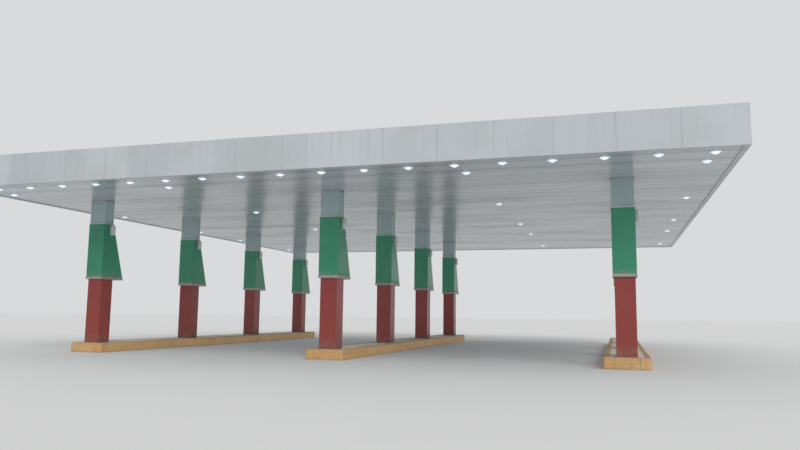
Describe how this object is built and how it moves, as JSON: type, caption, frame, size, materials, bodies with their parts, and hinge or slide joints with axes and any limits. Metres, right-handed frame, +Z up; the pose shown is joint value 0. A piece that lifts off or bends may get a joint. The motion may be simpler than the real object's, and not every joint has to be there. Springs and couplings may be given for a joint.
{
  "type": "filling station canopy",
  "caption": "Flat filling station canopy on cased columns with flared green upper casings, kerbed islands, strip soffit and round lamps.",
  "frame": {"origin": "centre of the whole outline, on the ground", "axes": "-Y is the long lamp-lined front, +X to the right along it, +Z up"},
  "size_m": [24, 25.6, 6.46],
  "materials": {
    "kerb": "weathered ochre kerb paint on concrete",
    "paving": "matt trowelled concrete",
    "post_steel": "grey primer",
    "red_panel": "satin coated composite panel",
    "green_panel": "satin coated composite panel",
    "grey_trim": "satin",
    "neck_panel": "satin coated composite panel",
    "pale_trim": "satin anodised",
    "side_box": "satin pale powder coat",
    "frame_steel": "grey primer",
    "galvanised": "galvanised",
    "soffit_strip": "gloss silver-grey coil coat",
    "lamp_rim": "white powder coat",
    "lamp_dome": "opal diffuser",
    "fascia_panel": "satin silver-grey composite panel",
    "roof_sheet": "galvanised and weathered"
  },
  "bodies": {
    "root": {"island_kerb_left": "kerb", "island_paving_left": "paving", "posts_left": "post_steel", "red_casings_left": "red_panel", "grey_bands_left": "grey_trim", "green_casings_left": "green_panel", "neck_casings_left": "neck_panel", "girder_left": "frame_steel", "island_kerb_middle": "kerb", "island_paving_middle": "paving", "posts_middle": "post_steel", "red_casings_middle": "red_panel", "grey_bands_middle": "grey_trim", "green_casings_middle": "green_panel", "neck_casings_middle": "neck_panel", "girder_middle": "frame_steel", "island_kerb_right": "kerb", "island_paving_right": "paving", "posts_right": "post_steel", "red_casings_right": "red_panel", "grey_bands_right": "grey_trim", "green_casings_right": "green_panel", "neck_casings_right": "neck_panel", "girder_right": "frame_steel", "top_trims": "pale_trim", "side_boxes": "side_box", "cross_beams": "frame_steel", "purlins": "galvanised", "edge_channels": "frame_steel", "soffit_carriers": "galvanised", "soffit_front": "soffit_strip", "soffit_middle": "soffit_strip", "soffit_rear": "soffit_strip", "front_lamp_rims": "lamp_rim", "bay_lamp_rims": "lamp_rim", "front_lamp_domes": "lamp_dome", "bay_lamp_domes": "lamp_dome", "fascia_front": "fascia_panel", "fascia_rear": "fascia_panel", "fascia_left": "fascia_panel", "fascia_right": "fascia_panel", "roof_sheets_left": "roof_sheet", "roof_sheets_right": "roof_sheet", "ridge_cap": "galvanised", "side_gutters": "galvanised"}
  },
  "joints": []
}
